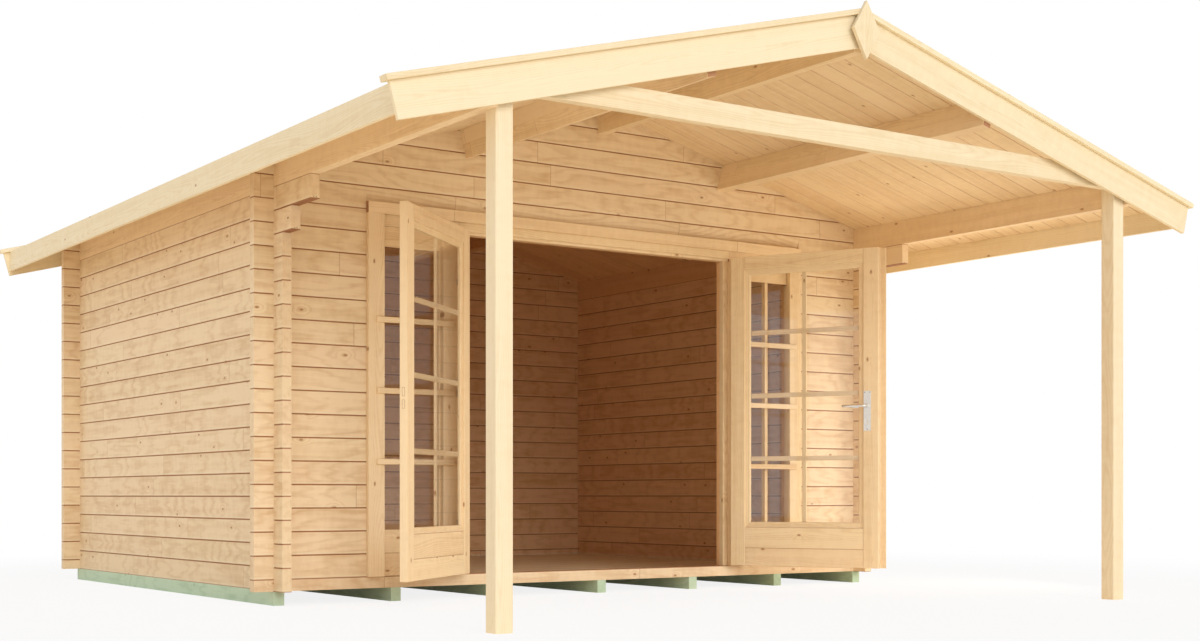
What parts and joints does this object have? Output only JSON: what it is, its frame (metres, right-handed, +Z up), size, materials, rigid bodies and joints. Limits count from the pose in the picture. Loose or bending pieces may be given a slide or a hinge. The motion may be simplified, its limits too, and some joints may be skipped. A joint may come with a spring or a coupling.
{
  "type": "garden log cabin",
  "caption": "Garden log cabin with crossed log corners, a gable roof reaching over a front porch on posts, and a glazed double door between sidelights.",
  "frame": {"origin": "on the ground under the middle of the whole outline, roof trim included", "axes": "+X across the front towards the right side wall, +Y from the front to the back, +Z up"},
  "size_m": [5.004, 5.586, 2.8826],
  "materials": {
    "log_spruce": "planed, untreated",
    "spruce": "planed, untreated",
    "treated_pine": "pressure treated, rough sawn",
    "window_glass": "clear",
    "satin_steel": "satin",
    "satin_aluminium": "satin"
  },
  "bodies": {
    "cabin": {"foundation_beams": "treated_pine", "floor": "spruce", "left_wall": "log_spruce", "right_wall": "log_spruce", "back_wall": "log_spruce", "front_sill": "log_spruce", "left_front_wall": "log_spruce", "right_front_wall": "log_spruce", "front_gable": "log_spruce", "left_eave_purlin": "spruce", "right_eave_purlin": "spruce", "left_mid_purlin": "spruce", "right_mid_purlin": "spruce", "ridge_purlin": "spruce", "left_post": "spruce", "right_post": "spruce", "tie_beam": "spruce", "left_roof": "spruce", "right_roof": "spruce", "left_eave_fascia": "spruce", "right_eave_fascia": "spruce", "left_front_barge_board": "spruce", "right_front_barge_board": "spruce", "left_rear_barge_board": "spruce", "right_rear_barge_board": "spruce", "front_barge_caps": "spruce", "rear_barge_caps": "spruce", "gable_diamond": "spruce", "door_frame": "spruce", "side_casings": "spruce", "header_casing": "spruce", "left_sidelight": "spruce", "right_sidelight": "spruce", "sidelight_glass": "window_glass", "frame_hinges": "satin_steel"},
    "left_leaf": {"left_door_leaf": "spruce", "left_door_glass": "window_glass", "left_leaf_hinges": "satin_steel", "lock_plate": "satin_steel"},
    "right_leaf": {"right_door_leaf": "spruce", "right_door_glass": "window_glass", "right_leaf_hinges": "satin_steel", "meeting_strip": "spruce", "handle_plates": "satin_aluminium"},
    "lever": {"door_lever": "satin_aluminium"}
  },
  "joints": [
    {"name": "left_door_hinge", "type": "hinge", "parent": "cabin", "child": "left_leaf", "pos_m": [-0.946, -0.64, 1.07], "axis": [0, 0, 1], "range_deg": [-16, 139]},
    {"name": "right_door_hinge", "type": "hinge", "parent": "cabin", "child": "right_leaf", "pos_m": [0.946, -0.64, 1.07], "axis": [0, 0, 1], "range_deg": [-116, 39]},
    {"name": "door_lever_turn", "type": "hinge", "parent": "right_leaf", "child": "lever", "pos_m": [1.30708, -1.43964, 1.0815], "axis": [-0.8988, -0.4384, 0], "range_deg": [0, 40], "stiffness_Nm_per_rad": 1, "springref_deg": -22.92}
  ]
}
